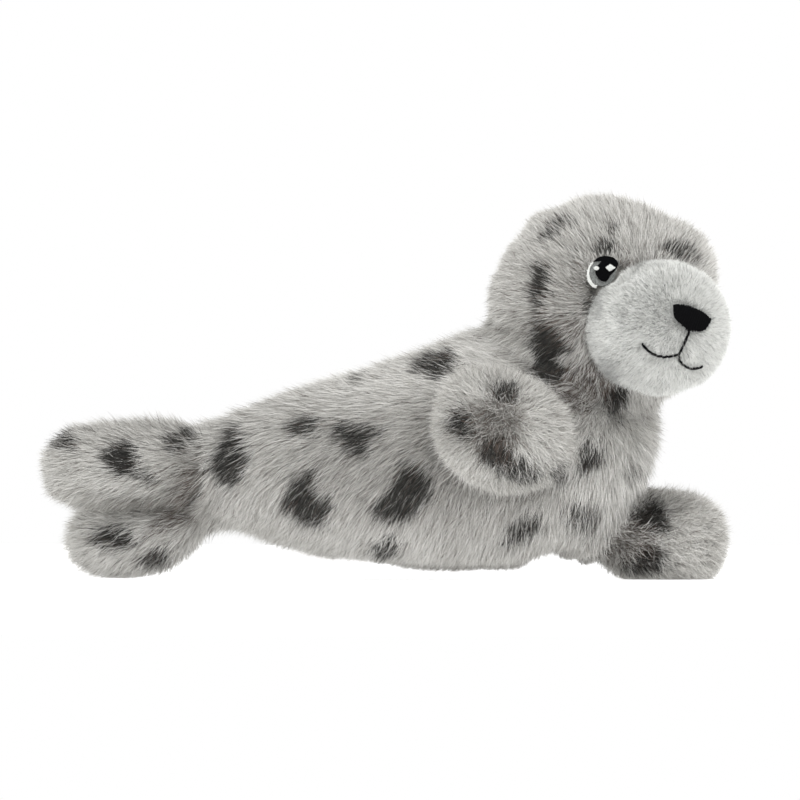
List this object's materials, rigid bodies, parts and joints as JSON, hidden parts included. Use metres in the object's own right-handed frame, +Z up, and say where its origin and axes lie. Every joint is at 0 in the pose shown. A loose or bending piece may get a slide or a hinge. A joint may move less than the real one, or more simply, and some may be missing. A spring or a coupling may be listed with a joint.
{
  "type": "plush seal",
  "caption": "Stuffed toy seal that lies on its belly with its head turned, long spotted pile, short-pile muzzle and stitched nose, mouth and eyes.",
  "frame": {"origin": "on the surface it lies on, under the middle of the belly's flat, in the body's upright middle plane", "axes": "+X along the body towards the head, +Y to the seal's left, +Z up"},
  "size_m": [0.3399, 0.1717, 0.1715],
  "materials": {
    "long_pile": "long soft synthetic pile, pale grey with charcoal spots",
    "short_pile": "short dense synthetic pile, cool pale grey",
    "black_stitching": "satin stitch",
    "grey_stitching": "satin stitch",
    "white_stitching": "satin stitch"
  },
  "bodies": {
    "root": {"body": "long_pile", "head": "long_pile", "front_flipper_right": "long_pile", "front_flipper_left": "long_pile", "hind_flipper_right": "long_pile", "hind_flipper_left": "long_pile", "muzzle": "short_pile", "nose": "black_stitching", "mouth": "black_stitching", "eye_right_black": "black_stitching", "eye_right_iris": "grey_stitching", "eye_right_white": "white_stitching", "eye_right_glint_large": "white_stitching", "eye_right_glint_small": "white_stitching", "eye_left_black": "black_stitching", "eye_left_iris": "grey_stitching", "eye_left_white": "white_stitching", "eye_left_glint_large": "white_stitching", "eye_left_glint_small": "white_stitching"}
  },
  "joints": []
}
